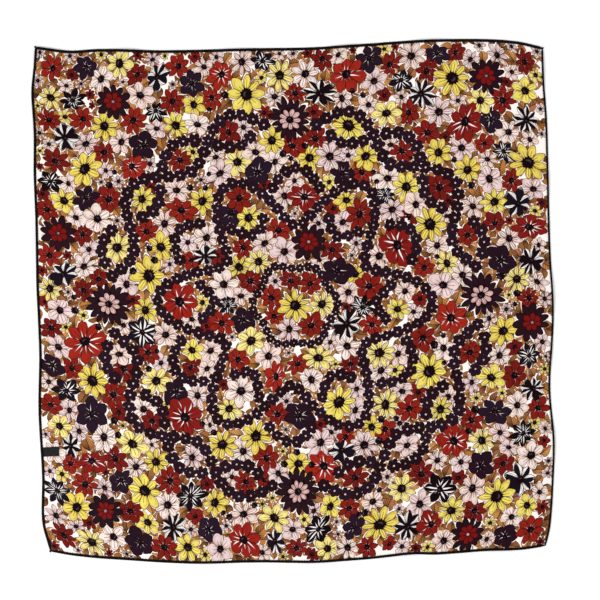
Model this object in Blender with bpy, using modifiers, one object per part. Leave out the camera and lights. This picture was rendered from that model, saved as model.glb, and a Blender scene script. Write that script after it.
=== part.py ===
# Silk square scarf, laid out flat and face up.
# Frame: metres, +Z up, the cloth rests on Z = 0 and the origin is under the middle of its outline.
# +X runs towards the right-hand side of the cloth and +Y towards its top side.

import math

import bmesh
import bpy
from mathutils import Vector
from mathutils.geometry import intersect_line_line_2d

MM = 0.001

# Cloth and seams
CLOTH_WALL = 1.0 * MM
SEAM_GAP = 0.3 * MM
CELLS = 44  # cells of the cloth along each side, shared by the hems
TANGENT_REACH = 0.002  # share of a side on either side of a point that gives its direction there

# Rolled hems
HEM_HEIGHT = 2.6 * MM
HEM_FACETS = 8
HEM_END_PINCH = 0.8  # height of a hem where it is tucked in at a corner, as a share
CORNER_REACH = 0.03  # share of a side in which its inset line is crossed by the next one
CORNER_STEPS = 60

# Care label, sewn to the left hem and lying on the cloth
LABEL_LENGTH = 28.0 * MM
LABEL_WIDTH = 16.5 * MM
LABEL_WALL = 1.0 * MM
LABEL_MIDDLE = 0.197  # share of the left side from its bottom corner
LABEL_SLANT = math.radians(3.0)
LABEL_CELLS = (8, 4)

# Corners of the cloth as it lies, in millimetres about the middle of the square
CORNERS = {
    "top_left": (-455.0, 450.0),
    "top_right": (441.5, 448.5),
    "bottom_right": (446.5, -432.0),
    "bottom_left": (-428.5, -441.5),
}

# Each side runs clockwise seen from above, so the cloth is on its right.
# along: share of the side.  bow: how far the edge lies outside the straight line, in millimetres.
SIDES = {
    "top": {
        "start": "top_left",
        "end": "top_right",
        "hem_width": 5.0 * MM,
        "along": (0.0, 0.065, 0.13, 0.25, 0.44, 0.54, 0.63, 0.76, 0.88, 0.95, 1.0),
        "bow": (0.0, -7.2, -4.3, -6.5, -2.6, -1.0, 4.2, 12.4, 14.3, 10.0, 0.0),
    },
    "right": {
        "start": "top_right",
        "end": "bottom_right",
        "hem_width": 3.4 * MM,
        "along": (0.0, 0.06, 0.15, 0.28, 0.41, 0.54, 0.68, 0.79, 0.89, 0.96, 1.0),
        "bow": (0.0, 1.2, 6.4, 8.6, 11.3, 16.2, 9.4, 16.2, 13.2, 8.0, 0.0),
    },
    "bottom": {
        "start": "bottom_right",
        "end": "bottom_left",
        "hem_width": 4.6 * MM,
        "along": (0.0, 0.05, 0.12, 0.22, 0.27, 0.35, 0.47, 0.58, 0.72, 0.86, 0.95, 1.0),
        "bow": (0.0, 5.8, 7.4, 12.8, 11.8, 19.0, 24.8, 23.2, 23.8, 15.6, 8.0, 0.0),
    },
    "left": {
        "start": "bottom_left",
        "end": "top_left",
        "hem_width": 4.6 * MM,
        "along": (0.0, 0.06, 0.15, 0.28, 0.40, 0.53, 0.63, 0.75, 0.83, 0.91, 0.96, 1.0),
        "bow": (0.0, 12.0, 10.2, 13.0, 8.6, 10.2, 8.5, 9.1, 6.8, 9.0, 3.6, 0.0),
    },
}

# Soft ridges where the silk stands off the table. x, y: middle; heading: degrees from +X;
# reach: half length; spread: half width; rise: height. Millimetres.
RIDGE_COLUMNS = ("x", "y", "heading", "reach", "spread", "rise")
RIDGES = (
    (-424.0, 418.0, 118.0, 74.0, 40.0, 3.4),
    (-296.0, 402.0, 82.0, 96.0, 44.0, 4.6),
    (-92.0, 398.0, 96.0, 104.0, 50.0, 3.2),
    (86.0, 412.0, 74.0, 88.0, 42.0, 3.8),
    (250.0, 404.0, 101.0, 112.0, 48.0, 5.2),
    (404.0, 388.0, 42.0, 92.0, 40.0, 4.2),
    (398.0, 206.0, 12.0, 102.0, 44.0, 4.0),
    (404.0, 22.0, -8.0, 118.0, 50.0, 5.4),
    (412.0, -94.0, 6.0, 84.0, 38.0, 3.0),
    (392.0, -232.0, -14.0, 110.0, 46.0, 5.6),
    (360.0, -398.0, 104.0, 78.0, 40.0, 3.6),
    (206.0, -394.0, 78.0, 96.0, 42.0, 5.0),
    (42.0, -410.0, 95.0, 112.0, 48.0, 4.4),
    (-148.0, -412.0, 86.0, 98.0, 46.0, 3.6),
    (-318.0, -392.0, 64.0, 96.0, 42.0, 4.6),
    (-404.0, -372.0, 20.0, 72.0, 38.0, 3.8),
    (-392.0, -62.0, -6.0, 96.0, 44.0, 3.4),
    (-396.0, 116.0, 9.0, 108.0, 48.0, 4.8),
    (-402.0, 292.0, -12.0, 90.0, 42.0, 3.8),
    (-196.0, 168.0, 38.0, 188.0, 62.0, 1.8),
    (176.0, 122.0, -31.0, 172.0, 58.0, 2.0),
    (128.0, -176.0, 22.0, 182.0, 64.0, 1.6),
    (-172.0, -158.0, -44.0, 164.0, 58.0, 1.9),
)


def smooth_table(xs, ys, x):
    """Value at x of a smooth curve through the rows of a table."""
    row = max(i for i in range(len(xs) - 1) if xs[i] <= x or i == 0)
    span = xs[row + 1] - xs[row]
    step = (ys[row + 1] - ys[row]) / span

    def slope(i):
        if i in (0, len(xs) - 1):
            near = min(i, len(xs) - 2)
            return (ys[near + 1] - ys[near]) / (xs[near + 1] - xs[near])
        return (ys[i + 1] - ys[i - 1]) / (xs[i + 1] - xs[i - 1])

    t = (x - xs[row]) / span
    start, end = slope(row), slope(row + 1)
    curve = t * (1 - t) * ((1 - t) * (start - step) - t * (end - step)) * span
    return ys[row] + t * (ys[row + 1] - ys[row]) + curve


def edge_point(side, along, inset=0.0):
    """Point of a side's outer edge, or inset from it towards the cloth, in metres."""
    start, end = Vector(CORNERS[side["start"]]), Vector(CORNERS[side["end"]])
    chord = (end - start).normalized()
    outward = Vector((-chord.y, chord.x))

    def on_edge(share):
        bow = smooth_table(side["along"], side["bow"], share)
        return (start.lerp(end, share) + outward * bow) * MM

    before, after = max(0.0, along - TANGENT_REACH), min(1.0, along + TANGENT_REACH)
    tangent = (on_edge(after) - on_edge(before)).normalized()
    return on_edge(along) + Vector((tangent.y, -tangent.x)) * inset


def corner_point(before, after, inset_before, inset_after):
    """Where two neighbouring sides cross once each is inset."""
    steps = [CORNER_REACH * i / CORNER_STEPS for i in range(CORNER_STEPS + 1)]
    tail = [edge_point(before, 1 - step, inset_before) for step in steps]
    head = [edge_point(after, step, inset_after) for step in steps]
    for a, b in zip(tail, tail[1:]):
        for c, d in zip(head, head[1:]):
            met = intersect_line_line_2d(a, b, c, d)
            if met:
                return met
    raise ValueError("the two inset sides do not cross near their corner")


def ridge_height(x, y):
    """How far the silk stands off the table at a point, in metres."""
    height = 0.0
    for row in RIDGES:
        ridge = dict(zip(RIDGE_COLUMNS, row))
        heading = math.radians(ridge["heading"])
        dx, dy = x / MM - ridge["x"], y / MM - ridge["y"]
        lengthwise = (dx * math.cos(heading) + dy * math.sin(heading)) / ridge["reach"]
        across = (dy * math.cos(heading) - dx * math.sin(heading)) / ridge["spread"]
        if abs(lengthwise) < 1 and abs(across) < 1:
            height += ridge["rise"] * (1 - lengthwise**2) ** 2 * (1 - across**2) ** 2
    return height * MM


def outline_middle():
    """Middle of the box round the whole outline."""
    points = [edge_point(side, i / CELLS) for side in SIDES.values() for i in range(CELLS + 1)]
    xs, ys = [p.x for p in points], [p.y for p in points]
    return Vector(((min(xs) + max(xs)) / 2, (min(ys) + max(ys)) / 2))


def seam_line(name):
    """The cloth's edge beside one hem: CELLS + 1 points from corner to corner."""
    order = list(SIDES)
    here = order.index(name)
    before, side, after = SIDES[order[here - 1]], SIDES[name], SIDES[order[(here + 1) % 4]]
    insets = [s["hem_width"] + SEAM_GAP for s in (before, side, after)]
    line = [edge_point(side, i / CELLS, insets[1]) for i in range(CELLS + 1)]
    line[0] = corner_point(before, side, insets[0], insets[1])
    line[-1] = corner_point(side, after, insets[1], insets[2])
    return line


def new_object(name, mesh, material, collection):
    """Object with the given mesh and finish, its origin at the scarf's middle."""
    part = bpy.data.objects.new(name, mesh)
    collection.objects.link(part)
    mesh.materials.append(material)
    mesh.shade_smooth()
    return part


def finish(name, colour, roughness):
    material = bpy.data.materials.new(name)
    material.use_nodes = True
    shader = material.node_tree.nodes["Principled BSDF"]
    shader.inputs["Base Color"].default_value = (*colour, 1.0)
    shader.inputs["Roughness"].default_value = roughness
    return material


def surface_grid(cells_x, cells_y, place):
    """Open grid whose vertices are put by place(u, v), with u and v from 0 to 1."""
    shape = bmesh.new()
    bmesh.ops.create_grid(shape, x_segments=cells_x, y_segments=cells_y, size=0.5)
    for vertex in shape.verts:
        vertex.co = place(vertex.co.x + 0.5, vertex.co.y + 0.5)
    mesh = bpy.data.meshes.new("surface")
    shape.to_mesh(mesh)
    shape.free()
    return mesh


def add_wall(part, thickness):
    """Wall on the upper side of an open surface, so that its underside stays put."""
    wall = part.modifiers.new("wall", "SOLIDIFY")
    wall.thickness = thickness
    wall.offset = 1.0


def build_cloth(middle, material, collection):
    """The silk panel: a thin wall stretched between the four seam lines."""
    top, right = seam_line("top"), seam_line("right")[::-1]
    bottom, left = seam_line("bottom")[::-1], seam_line("left")

    def place(u, v):
        i, j = round(u * CELLS), round(v * CELLS)
        across = left[j].lerp(right[j], u)
        upward = bottom[i].lerp(top[i], v)
        twist = bottom[0].lerp(bottom[-1], u).lerp(top[0].lerp(top[-1], u), v)
        point = across + upward - twist
        height = ridge_height(point.x, point.y)
        return (point.x - middle.x, point.y - middle.y, height)

    cloth = new_object("silk_cloth", surface_grid(CELLS, CELLS, place), material, collection)
    add_wall(cloth, CLOTH_WALL)
    return cloth


def hem_profile():
    """Rounded section with a flat foot: (share of the width from the outer edge, share of the height)."""
    half = math.pi / HEM_FACETS
    profile = []
    for facet in range(HEM_FACETS):
        angle = (2 * facet + 1) * half
        profile.append((0.5 - 0.5 * math.cos(angle), 0.5 + 0.5 * math.sin(angle) / math.cos(half)))
    widest = math.cos(half)
    return [(0.5 + (across - 0.5) / widest, up) for across, up in profile]


def build_hem(name, middle, material, collection):
    """One rolled hem, mitred to its neighbours, lofted through a section at each cell of the cloth."""
    order = list(SIDES)
    here = order.index(name)
    before, side, after = SIDES[order[here - 1]], SIDES[name], SIDES[order[(here + 1) % 4]]
    width = side["hem_width"]
    starts = (edge_point(side, 0.0), corner_point(before, side, before["hem_width"], width))
    ends = (edge_point(side, 1.0), corner_point(side, after, width, after["hem_width"]))
    chord = (ends[0] - starts[0]).normalized()
    clear = chord * SEAM_GAP * math.sqrt(0.5)  # half the gap, measured across a mitre at 45 degrees

    stations = [(starts[0] + clear, starts[1] + clear, HEM_END_PINCH)]
    for i in range(1, CELLS):
        stations.append((edge_point(side, i / CELLS), edge_point(side, i / CELLS, width), 1.0))
    stations.append((ends[0] - clear, ends[1] - clear, HEM_END_PINCH))

    shape = bmesh.new()
    rings = []
    for outer, inner, height_share in stations:
        lift = ridge_height(*((outer + inner) / 2))
        ring = []
        for across, up in hem_profile():
            point = outer.lerp(inner, across) - middle
            ring.append(shape.verts.new((point.x, point.y, lift + up * HEM_HEIGHT * height_share)))
        rings.append(ring)
    for ring, following in zip(rings, rings[1:]):
        for i in range(HEM_FACETS):
            j = (i + 1) % HEM_FACETS
            shape.faces.new((ring[i], ring[j], following[j], following[i]))
    shape.faces.new(rings[0])
    shape.faces.new(rings[-1][::-1])
    bmesh.ops.recalc_face_normals(shape, faces=shape.faces)
    mesh = bpy.data.meshes.new(name)
    shape.to_mesh(mesh)
    shape.free()
    return new_object("hem_" + name, mesh, material, collection)


def build_label(middle, material, collection):
    """Small woven tab, made from the cloth's own surface and moved out by the wall and a gap."""
    side = SIDES["left"]
    root = edge_point(side, LABEL_MIDDLE, side["hem_width"] + SEAM_GAP)
    outward = Vector((math.cos(LABEL_SLANT), math.sin(LABEL_SLANT)))
    upward = Vector((-outward.y, outward.x))

    def place(u, v):
        point = root + outward * (SEAM_GAP + u * LABEL_LENGTH) + upward * (v - 0.5) * LABEL_WIDTH
        height = ridge_height(point.x, point.y) + CLOTH_WALL + SEAM_GAP
        return (point.x - middle.x, point.y - middle.y, height)

    label = new_object("care_label", surface_grid(*LABEL_CELLS, place), material, collection)
    add_wall(label, LABEL_WALL)
    return label


def main():
    for old in list(bpy.data.objects):
        bpy.data.objects.remove(old)
    collection = bpy.data.collections.new("silk_square_scarf")
    bpy.context.scene.collection.children.link(collection)
    printed_silk = finish("printed_silk", (0.42, 0.24, 0.17), 0.45)
    dark_silk = finish("dark_silk", (0.012, 0.009, 0.013), 0.5)
    black_tape = finish("black_tape", (0.01, 0.01, 0.01), 0.6)
    middle = outline_middle()
    build_cloth(middle, printed_silk, collection)
    for name in SIDES:
        build_hem(name, middle, dark_silk, collection)
    build_label(middle, black_tape, collection)


main()
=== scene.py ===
import math

import bmesh
import bpy
import numpy as np
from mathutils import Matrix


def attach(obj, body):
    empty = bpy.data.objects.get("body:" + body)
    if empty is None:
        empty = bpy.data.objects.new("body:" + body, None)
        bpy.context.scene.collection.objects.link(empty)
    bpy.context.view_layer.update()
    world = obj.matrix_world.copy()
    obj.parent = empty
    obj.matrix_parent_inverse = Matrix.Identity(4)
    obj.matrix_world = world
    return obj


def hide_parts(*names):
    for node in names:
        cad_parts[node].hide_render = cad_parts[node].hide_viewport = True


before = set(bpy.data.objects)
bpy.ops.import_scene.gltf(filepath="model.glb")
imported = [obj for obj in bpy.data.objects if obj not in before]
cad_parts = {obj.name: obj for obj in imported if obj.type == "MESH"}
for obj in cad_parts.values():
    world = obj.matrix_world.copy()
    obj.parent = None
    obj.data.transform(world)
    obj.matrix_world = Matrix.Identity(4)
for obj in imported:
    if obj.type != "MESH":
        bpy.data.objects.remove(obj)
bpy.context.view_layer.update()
mm = 0.001
print("frame loaded:", ", ".join(sorted(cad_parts)))


# ---- small helpers for node trees

def paint(red, green, blue):
    # a printed colour, given as screen values from 0 to 255
    screen = np.array((red, green, blue)) / 255
    return tuple(np.where(screen <= 0.04045, screen / 12.92, ((screen + 0.055) / 1.055) ** 2.4))


def addNode(tree, kind, inputs=None, **settings):
    # inputs are given by the number or name of their socket, as feed takes them
    node = tree.nodes.new(kind)
    for name, value in settings.items():
        setattr(node, name, value)
    for entry, value in (inputs or {}).items():
        feed(tree, node.inputs[entry], value)
    count = len(tree.nodes)
    node.location = (count % 14 * 190, -(count // 14) * 220)
    return node


def feed(tree, socket, value):
    # value is a wire, a node whose first output is meant, or a constant
    if isinstance(value, Wire):
        tree.links.new(value.socket, socket)
    elif isinstance(value, bpy.types.Node):
        tree.links.new(value.outputs[0], socket)
    elif isinstance(value, tuple) and socket.type == "RGBA":
        socket.default_value = (*value, 1.0)
    else:
        socket.default_value = value


def maths(tree, operation, *values):
    node = addNode(tree, "ShaderNodeMath", dict(enumerate(values)), operation=operation)
    return Wire(tree, node.outputs[0])


class Wire:
    # a value on its way through a node tree, so that a pattern can be written as a formula
    def __init__(self, tree, socket):
        self.tree = tree
        self.socket = socket

    def do(self, operation, *others):
        return maths(self.tree, operation, self, *others)

    def __add__(self, other):
        return self.do("ADD", other)

    __radd__ = __add__

    def __sub__(self, other):
        return self.do("SUBTRACT", other)

    def __rsub__(self, other):
        return maths(self.tree, "SUBTRACT", other, self)

    def __mul__(self, other):
        return self.do("MULTIPLY", other)

    __rmul__ = __mul__

    def __truediv__(self, other):
        return self.do("DIVIDE", other)

    def __abs__(self):
        return self.do("ABSOLUTE")

    def ramp(self, start, end):
        # 0 at start and 1 at end, eased; it falls where start is above end
        inputs = {"Value": self, "From Min": start, "From Max": end}
        node = addNode(self.tree, "ShaderNodeMapRange", inputs, interpolation_type="SMOOTHSTEP")
        return Wire(self.tree, node.outputs["Result"])

    def split(self):
        node = addNode(self.tree, "ShaderNodeSeparateColor", {0: self})
        return [Wire(self.tree, socket) for socket in node.outputs]


def blended(tree, share, under, over, how="MIX"):
    # over covers under by the given share, or stains it where how is MULTIPLY
    inputs = {0: share, 6: under, 7: over}
    node = addNode(tree, "ShaderNodeMix", inputs, data_type="RGBA", blend_type=how)
    return Wire(tree, node.outputs[2])


def noiseAt(tree, place, scale, detail=2.0):
    inputs = {"Vector": place, "Scale": scale, "Detail": detail}
    return Wire(tree, addNode(tree, "ShaderNodeTexNoise", inputs).outputs["Fac"])


def newGroup(name, kind, inputs, outputs):
    # an input is given by its usual number, or by the form of its socket where it has none
    tree = bpy.data.node_groups.new(name, kind)
    for label, value in inputs.items():
        form = value if isinstance(value, str) else {float: "Float", int: "Int"}[type(value)]
        socket = tree.interface.new_socket(label, in_out="INPUT", socket_type="NodeSocket" + form)
        if form != value:
            socket.default_value = value
    for label, form in outputs.items():
        tree.interface.new_socket(label, in_out="OUTPUT", socket_type="NodeSocket" + form)
    start = addNode(tree, "NodeGroupInput")
    end = addNode(tree, "NodeGroupOutput")
    return tree, {socket.name: Wire(tree, socket) for socket in start.outputs if socket.name}, end


def useGroup(tree, group, values):
    node = addNode(tree, "ShaderNodeGroup", values, node_tree=group)
    return {socket.name: Wire(tree, socket) for socket in node.outputs}


def attribute(tree, name):
    # four numbers of a face or point: three as a colour, which nothing has to convert, and one alone
    node = addNode(tree, "ShaderNodeAttribute", attribute_name=name)
    return Wire(tree, node.outputs["Color"]), Wire(tree, node.outputs["Alpha"])


def newObject(name, data):
    made = bpy.data.objects.new(name, data)
    bpy.context.collection.objects.link(made)
    return made


# ---- how the square lies on the table

lie = {
    "cut": 0.90,
    "corners": {
        "topLeft": (-455.0, 450.0),
        "topRight": (441.5, 448.5),
        "bottomRight": (446.5, -432.0),
        "bottomLeft": (-428.5, -441.5),
    },
    # share of the side, and how far its edge lies outside the straight line, in millimetres
    "sides": {
        "top": {
            "ends": ("topLeft", "topRight"),
            "hemWidth": 5.0,
            "bow": (
                (0.0, 0.0), (0.065, -7.2), (0.13, -4.3), (0.25, -6.5), (0.44, -2.6), (0.54, -1.0),
                (0.63, 4.2), (0.76, 12.4), (0.88, 14.3), (0.95, 10.0), (1.0, 0.0),
            ),
        },
        "right": {
            "ends": ("topRight", "bottomRight"),
            "hemWidth": 3.4,
            "bow": (
                (0.0, 0.0), (0.06, 1.2), (0.15, 6.4), (0.28, 8.6), (0.41, 11.3), (0.54, 16.2),
                (0.68, 9.4), (0.79, 16.2), (0.89, 13.2), (0.96, 8.0), (1.0, 0.0),
            ),
        },
        "bottom": {
            "ends": ("bottomRight", "bottomLeft"),
            "hemWidth": 4.6,
            "bow": (
                (0.0, 0.0), (0.05, 5.8), (0.12, 7.4), (0.22, 12.8), (0.27, 11.8), (0.35, 19.0),
                (0.47, 24.8), (0.58, 23.2), (0.72, 23.8), (0.86, 15.6), (0.95, 8.0), (1.0, 0.0),
            ),
        },
        "left": {
            "ends": ("bottomLeft", "topLeft"),
            "hemWidth": 4.6,
            "bow": (
                (0.0, 0.0), (0.06, 12.0), (0.15, 10.2), (0.28, 13.0), (0.40, 8.6), (0.53, 10.2),
                (0.63, 8.5), (0.75, 9.1), (0.83, 6.8), (0.91, 9.0), (0.96, 3.6), (1.0, 0.0),
            ),
        },
    },
}

# Ridges and troughs of the silk: middle x and y, heading in degrees, half length, half width and
# rise, all in millimetres. The first ones are the folds of the CAD solid, the rest are fine creases.
folds = (
    (-424, 418, 118, 74, 40, 3.4), (-296, 402, 82, 96, 44, 4.6), (-92, 398, 96, 104, 50, 3.2),
    (86, 412, 74, 88, 42, 3.8), (250, 404, 101, 112, 48, 5.2), (404, 388, 42, 92, 40, 4.2),
    (398, 206, 12, 102, 44, 4.0), (404, 22, -8, 118, 50, 5.4), (412, -94, 6, 84, 38, 3.0),
    (392, -232, -14, 110, 46, 5.6), (360, -398, 104, 78, 40, 3.6), (206, -394, 78, 96, 42, 5.0),
    (42, -410, 95, 112, 48, 4.4), (-148, -412, 86, 98, 46, 3.6), (-318, -392, 64, 96, 42, 4.6),
    (-404, -372, 20, 72, 38, 3.8), (-392, -62, -6, 96, 44, 3.4), (-396, 116, 9, 108, 48, 4.8),
    (-402, 292, -12, 90, 42, 3.8), (-196, 168, 38, 188, 62, 1.8), (176, 122, -31, 172, 58, 2.0),
    (128, -176, 22, 182, 64, 1.6), (-172, -158, -44, 164, 58, 1.9),
)
creases = (
    (-352, 338, 52, 120, 16, 1.1), (-214, 356, 97, 84, 13, 0.8), (12, 372, 84, 96, 15, 0.9),
    (168, 340, 112, 118, 14, 1.2), (322, 300, 48, 132, 16, 1.3), (352, 118, 4, 96, 13, 0.9),
    (318, -52, -19, 122, 15, 1.1), (336, -164, 11, 88, 12, 0.7), (302, -322, -41, 128, 16, 1.3),
    (112, -330, 82, 104, 14, 1.0), (-58, -346, 101, 92, 13, 0.8), (-236, -318, 71, 116, 15, 1.1),
    (-352, -252, 31, 96, 14, 0.9), (-330, -6, -14, 112, 15, 1.0), (-322, 214, 17, 104, 14, 0.8),
    (-60, 52, 63, 150, 18, 0.6), (84, -40, -52, 142, 17, 0.6), (-90, -250, 8, 130, 16, 0.6),
    (96, 236, -12, 138, 17, 0.7), (236, 20, 74, 126, 16, 0.6), (-250, 66, -66, 122, 16, 0.6),
)


def smoothRows(rows, shares):
    # a smooth curve through the rows of a table
    xs, ys = np.array(rows, float).T
    steps = np.diff(ys) / np.diff(xs)
    slopes = np.concatenate([steps[:1], (ys[2:] - ys[:-2]) / (xs[2:] - xs[:-2]), steps[-1:]])
    row = np.clip(np.searchsorted(xs, shares, side="right") - 1, 0, len(xs) - 2)
    span = xs[row + 1] - xs[row]
    t = (shares - xs[row]) / span
    bend = (1 - t) * (slopes[row] - steps[row]) - t * (slopes[row + 1] - steps[row])
    return ys[row] + t * (ys[row + 1] - ys[row]) + t * (1 - t) * bend * span


def outerEdge(side, shares):
    # points of a side's outer edge, in millimetres about the middle of the square
    start, end = (np.array(lie["corners"][name]) for name in side["ends"])
    chord = (end - start) / np.linalg.norm(end - start)
    outward = np.array((-chord[1], chord[0]))
    return start + np.outer(shares, end - start) + np.outer(smoothRows(side["bow"], shares), outward)


def inwardAt(side, shares):
    # unit vectors from a side towards the middle of the cloth
    reach = 0.002
    ahead = outerEdge(side, np.minimum(shares + reach, 1))
    behind = outerEdge(side, np.maximum(shares - reach, 0))
    along = (ahead - behind) / np.linalg.norm(ahead - behind, axis=1)[:, None]
    return np.stack([along[:, 1], -along[:, 0]], 1)


sides = lie["sides"]
order = list(sides)
allEdges = np.concatenate([outerEdge(side, np.linspace(0, 1, 45)) for side in sides.values()])
boxMiddle = (allEdges.min(0) + allEdges.max(0)) / 2


def insetLine(name, insets, count):
    # the line inside one side, from corner to corner, in metres; insets holds millimetres for each side
    here = order.index(name)
    before, after = order[here - 1], order[(here + 1) % 4]
    side, shares = sides[name], np.linspace(0, 1, count + 1)
    normals = inwardAt(side, shares)
    line = outerEdge(side, shares) + normals * insets[name]
    ends = (
        (0, normals[0], before, inwardAt(sides[before], np.ones(1))[0]),
        (-1, normals[-1], after, inwardAt(sides[after], np.zeros(1))[0]),
    )
    for spot, mine, other, theirs in ends:
        corner = outerEdge(side, shares[[spot]])[0]
        line[spot] = corner + np.linalg.solve([mine, theirs], [insets[name], insets[other]])
    return (line - boxMiddle) * mm


def standOff(x, y, rows):
    # how far the silk stands off the table at points given in metres from the box's middle
    x, y = x / mm + boxMiddle[0], y / mm + boxMiddle[1]
    height = np.zeros(np.shape(x))
    for middleX, middleY, heading, reach, spread, rise in rows:
        turn = math.radians(heading)
        dx, dy = x - middleX, y - middleY
        lengthwise = np.clip((dx * math.cos(turn) + dy * math.sin(turn)) / reach, -1, 1)
        across = np.clip((dy * math.cos(turn) - dx * math.sin(turn)) / spread, -1, 1)
        height = height + rise * (1 - lengthwise**2) ** 2 * (1 - across**2) ** 2
    return height * mm


# ---- the print: ordinary garden flowers and leaves in a seeded layout of its own

# What a kind of flower doesn't state. Kinds with a count of 0 have places of their own in the layout.
plainBloom = {
    "count": 0,
    "streak": 0.0,  # share of white strokes
    "vein": 1.0,  # how dark the veins are
    "side": 0,  # 1 paints half of each petal white
    "pale": 0.0,  # how light the disc is
    "squash": (0.9, 1.0),
    "tilt": 0.0,  # how far the flower may lean away
}
# radius in millimetres; width and point shape a petal; disc is the middle's share of the radius; the
# tints are screen values, from 0 to 255
bloomKinds = {
    "grandDahlia": dict(
        family="dark", radius=(44, 46), petals=(15, 16), width=1.35, point=0.3, vein=0.4, disc=0.4,
        squash=(0.9, 0.96), tints=((36, 15, 27),),
    ),
    "dahlia": dict(
        family="dark", count=7, radius=(34, 38), petals=(11, 12), width=1.3, point=0.25, vein=0.4,
        disc=0.3, tints=((32, 14, 26), (38, 14, 24)),
    ),
    "inkFlower": dict(
        family="dark", count=17, radius=(28, 39), petals=(7, 9), width=1.15, point=0.8, vein=0.0, side=1,
        disc=0.15, squash=(0.7, 1.0), tilt=0.2, tints=((17, 6, 12), (21, 13, 26)),
    ),
    "inkLily": dict(
        family="dark", count=17, radius=(27, 37), petals=(6, 8), width=1.05, point=0.9, streak=0.5,
        vein=0.0, disc=0.13, squash=(0.7, 1.0), tilt=0.2, tints=((15, 5, 11), (20, 13, 25)),
    ),
    "plumFlower": dict(
        family="dark", count=24, radius=(28, 36), petals=(5, 6), width=1.12, point=0.7, streak=0.27,
        vein=0.5, disc=0.12, squash=(0.74, 1.0), tilt=0.14, tints=((36, 20, 36), (34, 15, 29)),
    ),
    "poppy": dict(
        family="red", count=17, radius=(36, 46), petals=(6, 8), width=1.3, point=0.5, streak=0.4,
        disc=0.18, squash=(0.66, 0.95), tilt=0.3, tints=((150, 31, 20), (132, 25, 19), (160, 37, 23)),
    ),
    "sunDaisy": dict(
        family="yellow", count=14, radius=(37, 44), petals=(8, 10), width=1.06, point=0.5, disc=0.25,
        squash=(0.84, 1.0), tilt=0.1, tints=((243, 224, 104), (238, 215, 98)),
    ),
    "yellowDaisy": dict(
        family="yellow", count=61, radius=(26, 35), petals=(6, 9), width=1.0, point=0.45, disc=0.23,
        squash=(0.78, 1.0), tilt=0.14, tints=((243, 225, 108), (238, 215, 97), (247, 231, 140)),
    ),
    "redFlower": dict(
        family="red", count=89, radius=(24, 33), petals=(6, 8), width=1.12, point=0.6, streak=0.24,
        disc=0.16, squash=(0.76, 1.0), tilt=0.14, tints=((134, 28, 19), (119, 23, 18), (148, 33, 21)),
    ),
    "blushDaisy": dict(
        family="blush", count=94, radius=(24, 33), petals=(5, 8), width=0.98, point=0.45, disc=0.2,
        squash=(0.76, 1.0), tilt=0.14, tints=((244, 218, 208), (237, 211, 209), (250, 230, 221)),
    ),
    "smallBlush": dict(
        family="blush", count=62, radius=(16, 22), petals=(5, 7), width=1.0, point=0.4, vein=0.9,
        disc=0.19, squash=(0.8, 1.0), tilt=0.1, tints=((245, 221, 211), (237, 213, 212)),
    ),
    "smallRed": dict(
        family="red", count=34, radius=(14, 20), petals=(5, 7), width=1.08, point=0.6, streak=0.14,
        vein=0.8, disc=0.16, squash=(0.8, 1.0), tilt=0.1, tints=((131, 27, 19), (115, 22, 18)),
    ),
    "smallYellow": dict(
        family="yellow", count=16, radius=(14, 19), petals=(5, 7), width=1.0, point=0.3, vein=0.7,
        disc=0.2, squash=(0.8, 1.0), tilt=0.1, tints=((244, 225, 124),),
    ),
    "dahliaHeart": dict(
        family="red", radius=(18, 20), petals=(7, 8), width=1.25, point=0.2, vein=0.4, disc=0.12,
        pale=0.75, tints=((124, 18, 16),),
    ),
    "blushHeart": dict(
        family="blush", radius=(22, 24), petals=(9, 10), width=1.25, point=0.1, vein=0.9, disc=0.24,
        tints=((226, 188, 184),),
    ),
    "plumFloret": dict(
        family="dark", radius=(12, 14), petals=(6, 6), width=1.25, point=0.2, vein=0.2, disc=0.12,
        pale=1.0, squash=(0.94, 1.0), tints=((35, 14, 27), (31, 12, 21), (37, 19, 34)),
    ),
    "plumBerry": dict(
        family="dark", radius=(5, 8), petals=(5, 5), width=0.6, point=0.0, vein=0.0, disc=0.9,
        tints=((34, 13, 24),),
    ),
}
bloomKinds = {kind: {**plainBloom, **rules} for kind, rules in bloomKinds.items()}
strungKinds = ("plumFloret", "plumBerry")
families = ["dark", "red", "yellow", "blush"]
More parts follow.
